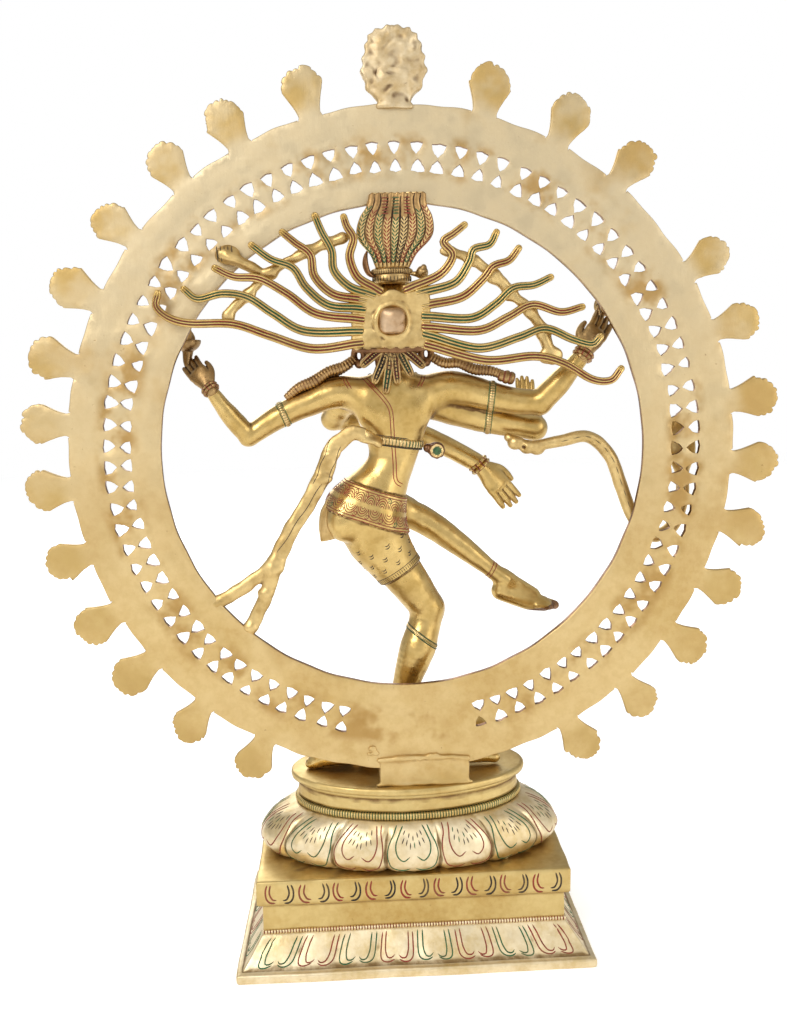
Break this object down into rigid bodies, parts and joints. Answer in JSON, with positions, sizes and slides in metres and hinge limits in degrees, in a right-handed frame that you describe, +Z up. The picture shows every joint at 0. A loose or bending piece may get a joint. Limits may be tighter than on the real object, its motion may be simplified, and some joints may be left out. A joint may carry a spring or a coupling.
{
  "type": "brass nataraja statue",
  "caption": "Brass dancing figure with four arms and a fan of waving hair, inside a pierced ring of flames on a stepped lotus base.",
  "frame": {"origin": "middle of the underside of the base", "axes": "+Z up; the figure faces -Y; +X is the figure's left; the flame ring stands in a plane parallel to X and Z at the back of the platform"},
  "size_m": [0.4449, 0.13, 0.5532],
  "materials": {
    "base_brass": "satin cast brass, hand chased, with green and red lines",
    "ring_brass": "matt filed cast brass, pale",
    "figure_brass": "polished cast brass with brown in the hollows",
    "chased_brass": "punched and chased brass with red, green and black colour in the lines",
    "steel": "plain steel threaded rod, nuts and bar, inside the base"
  },
  "bodies": {
    "root": {"plinth_foot": "base_brass", "plinth_body": "base_brass", "lotus_cushion": "base_brass", "bead_collar": "base_brass", "oval_platform": "base_brass", "base_bridge_bar": "steel", "base_tie_rod": "steel", "base_tie_nut": "steel", "halo_stud_left": "steel", "halo_nut_left": "steel", "figure_stud_left": "steel", "figure_nut_left": "steel", "halo_stud_right": "steel", "halo_nut_right": "steel", "figure_stud_right": "steel", "figure_nut_right": "steel", "halo_ring": "ring_brass", "crest_flame": "ring_brass", "torso": "figure_brass", "head": "figure_brass", "standing_leg": "figure_brass", "raised_leg": "figure_brass", "dwarf": "figure_brass", "rear_left_arm": "figure_brass", "rear_right_arm": "figure_brass", "front_left_arm": "figure_brass", "front_right_arm": "figure_brass", "thigh_drape": "figure_brass", "sash": "figure_brass", "snake": "figure_brass", "hair_rivet": "figure_brass", "hair_fan_left": "figure_brass", "hair_fan_right": "figure_brass", "hair_hoop_left": "figure_brass", "hair_hoop_right": "figure_brass", "hip_wrap": "chased_brass", "waist_belt": "chased_brass", "belt_knot": "chased_brass", "wrap_tail": "chased_brass", "hand_drum": "chased_brass", "fire_bowl": "chased_brass", "hair_plate": "chased_brass", "crown_band": "chased_brass", "feather_crown": "chased_brass", "crescent_ornament": "chased_brass", "flower_ornament": "chased_brass", "nape_locks": "chased_brass", "earring_left": "chased_brass", "earring_right": "chased_brass", "shoulder_braid_left": "chased_brass", "shoulder_braid_right": "chased_brass"}
  },
  "joints": []
}
